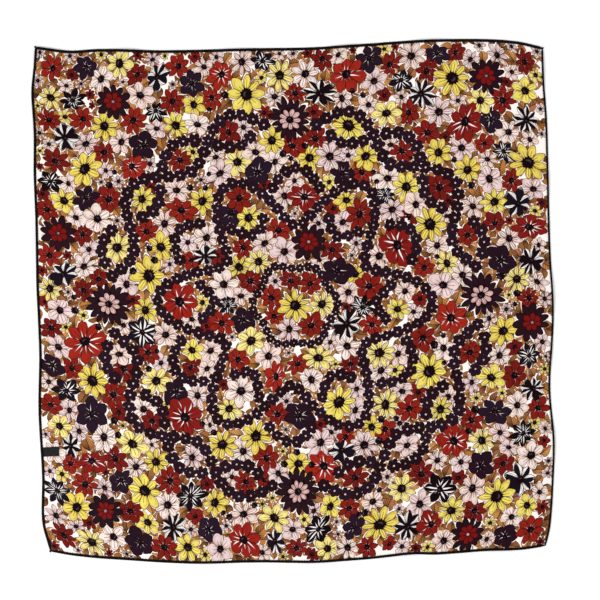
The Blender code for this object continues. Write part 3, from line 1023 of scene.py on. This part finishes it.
def edgeObject(name, points):
    mesh = bpy.data.meshes.new(name)
    mesh.from_pydata([tuple(p) for p in points], [(i, i + 1) for i in range(len(points) - 1)], [])
    return newObject(name, mesh)


def liftedLine(line, rise=0.0):
    return np.column_stack([line, standOff(line[:, 0], line[:, 1], folds) + rise])


def kept(tree, shape, **values):
    # keeps values on the points of a curve, where they can still be read once it has been swept
    node = addNode(tree, "GeometryNodeCaptureAttribute", domain="POINT")
    for name in values:
        node.capture_items.new("FLOAT", name)
    for socket, value in zip(node.inputs, (shape, *values.values())):
        feed(tree, socket, value)
    return node


def finishTree(tree, shape, material, end):
    shape = addNode(tree, "GeometryNodeRealizeInstances", {"Geometry": shape})
    shape = addNode(tree, "GeometryNodeSetShadeSmooth", {"Geometry": shape})
    shape = addNode(tree, "GeometryNodeSetMaterial", {"Geometry": shape, "Material": material})
    feed(tree, end.inputs[0], shape)
    return tree


def buildRollTree():
    # sweeps a rounded section along the hem's line, thin at both ends, then slanting wrinkles swell it
    inputs = {
        "Line": "Geometry", "Width": 0.005, "Height": 0.0026, "Sides": 16, "Step": 0.0022,
        "Pucker": 0.0001, "Pitch": 0.007, "Taper": 0.009, "Tip": 0.3, "Material": "Material",
    }
    tree, given, end = newGroup("rolledHem", "GeometryNodeTree", inputs, {"Roll": "Geometry"})
    line = addNode(tree, "GeometryNodeMeshToCurve", {"Mesh": given["Line"]})
    evenly = {"Curve": line, "Length": given["Step"]}
    line = addNode(tree, "GeometryNodeResampleCurve", evenly, mode="LENGTH")
    line = addNode(tree, "GeometryNodeSetCurveNormal", {"Curve": line}, mode="Z_UP")
    walked = Wire(tree, addNode(tree, "GeometryNodeSplineParameter").outputs["Length"])
    whole = Wire(tree, addNode(tree, "GeometryNodeSplineLength").outputs["Length"])
    fromEnd = walked.do("MINIMUM", whole - walked)
    fullness = given["Tip"] + (1 - given["Tip"]) * fromEnd.ramp(-0.001, given["Taper"])
    line = kept(tree, line, Length=walked, Fullness=fullness)
    ring = addNode(tree, "GeometryNodeCurvePrimitiveCircle", {"Resolution": given["Sides"], "Radius": 0.5})
    across = addNode(tree, "ShaderNodeCombineXYZ", {0: given["Width"], 1: given["Height"], 2: 1.0})
    ring = addNode(tree, "GeometryNodeTransform", {"Geometry": ring, "Scale": across})
    around = addNode(tree, "GeometryNodeSplineParameter")
    ring = kept(tree, ring, Turn=Wire(tree, around.outputs["Factor"]))
    length, turn = Wire(tree, line.outputs[1]), Wire(tree, ring.outputs[1])
    sweep = addNode(tree, "GeometryNodeCurveToMesh", {
        "Curve": line, "Profile Curve": ring, "Scale": Wire(tree, line.outputs[2]), "Fill Caps": True,
    })
    lump = noiseAt(tree, addNode(tree, "GeometryNodeInputPosition"), 60.0)
    slant = ((length / given["Pitch"] + turn) * 2 * math.pi + lump * 5).do("SINE")
    swell = (slant * 0.55 + (lump - 0.5) * 3) * given["Pucker"]
    normal = addNode(tree, "GeometryNodeInputNormal")
    outward = addNode(tree, "ShaderNodeVectorMath", {0: normal, "Scale": swell}, operation="SCALE")
    wrinkled = addNode(tree, "GeometryNodeSetPosition", {"Geometry": sweep, "Offset": outward})
    return finishTree(tree, wrinkled, given["Material"], end)


def baked(holder, tree, name, **values):
    # runs a Geometry Nodes tree on a holder and keeps the result as a plain mesh
    modifier = holder.modifiers.new(name, "NODES")
    modifier.node_group = tree
    for item in tree.interface.items_tree:
        if item.item_type == "SOCKET" and item.in_out == "INPUT" and item.name in values:
            modifier[item.identifier] = values[item.name]
    bpy.context.view_layer.update()
    shown = holder.evaluated_get(bpy.context.evaluated_depsgraph_get())
    mesh = bpy.data.meshes.new_from_object(shown)
    mesh.name = name
    holder.modifiers.clear()
    bpy.data.objects.remove(holder)
    return newObject(name, mesh)


rollTree, hemSilk = buildRollTree(), darkWeave("darkSilk", hemRoll["silk"])


def buildHem(name):
    side = sides[name]
    half = {key: each["hemWidth"] / 2 for key, each in sides.items()}
    line = insetLine(name, half, hemRoll["points"])
    ears = []
    for spot, inner, corner in ((0, 3, side["ends"][0]), (-1, -4, side["ends"][1])):
        onward = (line[spot] - line[inner]) / np.linalg.norm(line[spot] - line[inner])
        outward = line[spot] / np.linalg.norm(line[spot])
        way = onward + 2 * outward
        ears.append(line[spot] + way / np.linalg.norm(way) * hemRoll["ears"][corner] * mm)
    line = np.concatenate([ears[:1], line, ears[1:]])
    path = liftedLine(line, hemRoll["height"] / 2 * mm)
    holder = edgeObject(name + "Line", path)
    return baked(
        holder, rollTree, name + "Hem", Width=side["hemWidth"] * mm, Height=hemRoll["height"] * mm,
        Sides=hemRoll["sides"], Step=hemRoll["step"] * mm, Pucker=hemRoll["pucker"] * mm,
        Pitch=hemRoll["twistPitch"] * mm, Taper=hemRoll["taper"] * mm, Tip=hemRoll["tipShare"],
        Material=hemSilk,
    )


hems = {name: buildHem(name) for name in sides}
print("hems rolled:", {name: len(hem.data.polygons) for name, hem in hems.items()})


# ---- hand stitches that hold the rolls down, and the bare care label

sewing = {
    "pitch": 4.6,  # millimetres from stitch to stitch
    "thread": 0.16,  # radius of the thread in millimetres
    "facets": 5,
    "bends": 5,
    # a slip stitch from the roll's shoulder to the silk: along the hem, outward and up, in millimetres
    "slipStitch": ((-0.7, 0.75, 2.2), (0.1, -0.75, 2.0), (0.7, -1.15, 0.42)),
    "endClearance": 7.0,
    "labelPitch": 2.3,
    "labelStitch": ((-0.75, 0.0, -0.12), (0.0, 0.0, 0.34), (0.75, 0.0, -0.12)),
}


def buildStitchTree():
    # small bent threads along a line, each turned with the line and a little unlike the next
    inputs = {
        "Line": "Geometry", "Pitch": 0.0046, "Start": "Vector", "Over": "Vector", "Finish": "Vector",
        "Thread": 0.00016, "Facets": 5, "Bends": 5, "Seed": 3, "Material": "Material",
    }
    tree, given, end = newGroup("threadStitches", "GeometryNodeTree", inputs, {"Stitches": "Geometry"})
    line = addNode(tree, "GeometryNodeMeshToCurve", {"Mesh": given["Line"]})
    evenly = {"Curve": line, "Length": given["Pitch"]}
    points = addNode(tree, "GeometryNodeCurveToPoints", evenly, mode="LENGTH")
    axes = {"Primary Axis": (0, 0, 1), "Secondary Axis": Wire(tree, points.outputs["Tangent"])}
    aim = addNode(tree, "FunctionNodeAxesToRotation", axes, primary_axis="Z", secondary_axis="X")
    sizes = {0: (0.8, 0.85, 0.97), 1: (1.2, 1.15, 1.03), "Seed": given["Seed"]}
    unlike = addNode(tree, "FunctionNodeRandomValue", sizes, data_type="FLOAT_VECTOR")
    bend = addNode(tree, "GeometryNodeCurveQuadraticBezier", {
        "Resolution": given["Bends"], "Start": given["Start"], "Middle": given["Over"],
        "End": given["Finish"],
    })
    section = {"Resolution": given["Facets"], "Radius": given["Thread"]}
    ring = addNode(tree, "GeometryNodeCurvePrimitiveCircle", section)
    sweep = {"Curve": bend, "Profile Curve": ring, "Fill Caps": True}
    thread = addNode(tree, "GeometryNodeCurveToMesh", sweep)
    spread = {"Points": points, "Instance": thread, "Rotation": aim, "Scale": unlike}
    stitches = addNode(tree, "GeometryNodeInstanceOnPoints", spread)
    return finishTree(tree, stitches, given["Material"], end)


stitchTree = buildStitchTree()


def stitched(holder, name, pitch, shape, seed, material):
    start, over, finish = (tuple(value * mm for value in point) for point in shape)
    return baked(
        holder, stitchTree, name, Pitch=pitch * mm, Start=start, Over=over, Finish=finish,
        Thread=sewing["thread"] * mm, Facets=sewing["facets"], Bends=sewing["bends"], Seed=seed,
        Material=material,
    )


def hemStitches(name, seed):
    insets = {key: each["hemWidth"] for key, each in sides.items()}
    line = liftedLine(insetLine(name, insets, hemRoll["points"]))
    walked = np.concatenate([[0], np.cumsum(np.linalg.norm(np.diff(line, axis=0), axis=1))])
    clear = sewing["endClearance"] * mm
    line = line[(walked > clear) & (walked < walked[-1] - clear)]
    holder = edgeObject(name + "Seam", line)
    return stitched(holder, name + "HemStitches", sewing["pitch"], sewing["slipStitch"], seed, hemSilk)


seams = {name: hemStitches(name, 11 + number) for number, name in enumerate(sides)}
print("hems sewn:", {name: len(seam.data.polygons) for name, seam in seams.items()})

label = {
    "length": 28.0,  # millimetres, from the hem to the fold
    "width": 16.5,
    "tuck": 0.6,  # millimetres that it starts in under the roll
    "share": 0.197,  # place along the left side, from its bottom corner
    "slant": 3.0,  # degrees
    "tape": 0.3,
    "foldRadius": 0.34,
    "foldSteps": 8,
    "lift": 0.75,  # the underside's height over the silk's own
    "curl": 0.5,  # millimetres that the free corners rise
    "ripple": 0.12,  # millimetres that the tape waves
    "selvage": 1.1,  # millimetres of thicker edge along each long side
    "selvageThickness": 1.25,  # in tapes
    "rows": 28,
    "columns": 44,
    "stitchInset": 2.2,
    "seam": dict(reach=0.42, points=12),  # reach in widths, to each side of the middle
    # black tape with fine crosswise ribs and nothing woven into it
    "weave": dict(
        ribs=900.0, mottle=260.0, ramp=(0.4, 0.75), low=(10, 9, 10), high=(24, 22, 24), rough=0.45,
        shine=0.15, grain=1, bump=(0.0002, 0.7),
    ),
}


def labelPoint(along, across, rise):
    # a place on the label, in metres, from millimetres along it from the hem and across from its middle
    side = sides["left"]
    share = np.array([label["share"]])
    root = (outerEdge(side, share) + inwardAt(side, share) * (side["hemWidth"] - label["tuck"]))[0]
    slant = math.radians(label["slant"])
    ahead = np.array((math.cos(slant), math.sin(slant)))
    place = (root + along * ahead + across * np.array((-ahead[1], ahead[0])) - boxMiddle) * mm
    free = max(along / label["length"], 0)
    curl = label["curl"] * free**3 * (0.35 + 0.65 * (2 * across / label["width"]) ** 2)
    ripple = label["ripple"] * math.sin(along * 0.45 + across * 0.3) * free
    ground = standOff(*place, folds) + standOff(*place, creases)
    return (*place, ground + (label["lift"] + rise + curl + ripple) * mm)


def buildLabel():
    # a tape folded double: out from the hem below, round the fold and back above
    length, radius, tape = label["length"], label["foldRadius"], label["tape"]
    straight, steps = label["columns"] // 2, label["foldSteps"]
    route = [(length * i / straight, 0.0, -1.0, 0.0) for i in range(straight)]
    for i in range(steps + 1):
        turn = math.pi * i / steps - math.pi / 2
        cos, sin = math.cos(turn), math.sin(turn)
        route.append((length + radius * cos, radius + radius * sin, sin, cos))
    route += [(length * (1 - i / straight), 2 * radius, 1.0, 0.0) for i in range(1, straight + 1)]
    rows = label["rows"]
    vertices, faces = [], []
    for along, rise, up, out in route:
        for skin in (0, 1):
            for row in range(rows + 1):
                across = (row / rows - 0.5) * label["width"]
                edge = label["width"] / 2 - abs(across)
                swell = label["selvageThickness"] if edge < label["selvage"] else 1.0
                thick = tape * swell * min(1.0, 0.3 + edge * 2)
                grow = thick / 2 * (1 if skin else -1)
                vertices.append(labelPoint(along + grow * out, across, rise + grow * up + tape / 2))
    ring = 2 * (rows + 1)
    stations = len(route)
    loop = list(range(rows + 1)) + list(range(2 * rows + 1, rows, -1))
    for station in range(stations - 1):
        for here, after in zip(loop, loop[1:] + loop[:1]):
            low, high = station * ring, (station + 1) * ring
            faces.append((low + here, low + after, high + after, high + here))
    for row in range(rows):
        a, b = row, row + 1
        c, d = rows + 1 + row + 1, rows + 1 + row
        faces.append((d, c, b, a))
        last = (stations - 1) * ring
        faces.append((last + a, last + b, last + c, last + d))
    mesh = bpy.data.meshes.new("careLabel")
    mesh.from_pydata(vertices, [], faces)
    shape = bmesh.new()
    shape.from_mesh(mesh)
    bmesh.ops.recalc_face_normals(shape, faces=shape.faces)
    shape.to_mesh(mesh)
    shape.free()
    mesh.shade_smooth()
    mesh.materials.append(darkWeave("labelTape", label["weave"]))
    return newObject("careLabel", mesh)


careLabel = buildLabel()
seam = label["seam"]
seamAcross = np.linspace(-seam["reach"], seam["reach"], seam["points"]) * label["width"]
topOfTape = 2 * label["foldRadius"] + label["tape"]
labelLine = [labelPoint(label["stitchInset"], across, topOfTape) for across in seamAcross]
labelStitches = stitched(
    edgeObject("labelSeam", labelLine), "careLabelStitches", sewing["labelPitch"], sewing["labelStitch"], 5,
    hemSilk,
)
print("care label made:", len(careLabel.data.polygons), "faces, left bare")


# ---- floor, light and camera

studio = {
    "viewWidth": 1.059,  # metres of floor that the picture shows
    "aim": (0.0125, 0.0023),
    "cameraHeight": 3.0,
    "sensor": 36,
    "floorReach": 6,
    "floorDrop": 0.0002,
    "sky": 0.5,
    "lampSize": 1.6,
    "lamps": {"keyLight": ((-1.5, -1.0, 2.4), 53), "fillLight": ((1.6, 1.2, 2.4), 25)},
}


def buildFloor():
    reach, drop = studio["floorReach"], -studio["floorDrop"]
    corners = [(x * reach, y * reach, drop) for x, y in ((-1, -1), (1, -1), (1, 1), (-1, 1))]
    mesh = bpy.data.meshes.new("floor")
    mesh.from_pydata(corners, [], [(0, 1, 2, 3)])
    material, _, shader = newMaterial("paleFloor")
    shader.inputs["Base Color"].default_value = (1.0, 1.0, 1.0, 1)
    shader.inputs["Roughness"].default_value = 0.9
    mesh.materials.append(material)
    floor = newObject("floor", mesh)


def diskLight(name, place, power):
    # a round lamp that looks at the middle of the cloth
    lamp = bpy.data.lights.new(name, "AREA")
    lamp.shape = "DISK"
    lamp.size, lamp.energy = studio["lampSize"], power
    holder = newObject(name, lamp)
    holder.location = place
    x, y, z = place
    holder.rotation_euler = (math.atan2(math.hypot(x, y), z), 0, math.atan2(-x, y) + math.pi)


def buildStudio():
    world = bpy.data.worlds.new("studio")
    world.use_nodes = True
    sky = world.node_tree.nodes["Background"]
    sky.inputs["Color"].default_value = (1, 1, 1, 1)
    sky.inputs["Strength"].default_value = studio["sky"]
    bpy.context.scene.world = world
    for name, (place, power) in studio["lamps"].items():
        diskLight(name, place, power)
    lens = bpy.data.cameras.new("camera")
    lens.sensor_width = studio["sensor"]
    lens.lens = studio["sensor"] * studio["cameraHeight"] / studio["viewWidth"]
    camera = newObject("camera", lens)
    camera.location = (*studio["aim"], studio["cameraHeight"])
    bpy.context.scene.camera = camera
    bpy.context.scene.view_settings.view_transform = "Standard"


buildFloor()
buildStudio()


# ---- what each piece stands for

pieceFacts = [(square, "silk_cloth", "printed_silk"), (careLabel, "care_label", "black_tape")]
pieceFacts += [(hem, "hem_" + name, "dark_silk") for name, hem in hems.items()]
for piece, node, slot in pieceFacts:
    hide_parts(node)
    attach(piece, "root")
threads = [*seams.values(), labelStitches]
for thread in threads:
    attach(thread, "root")
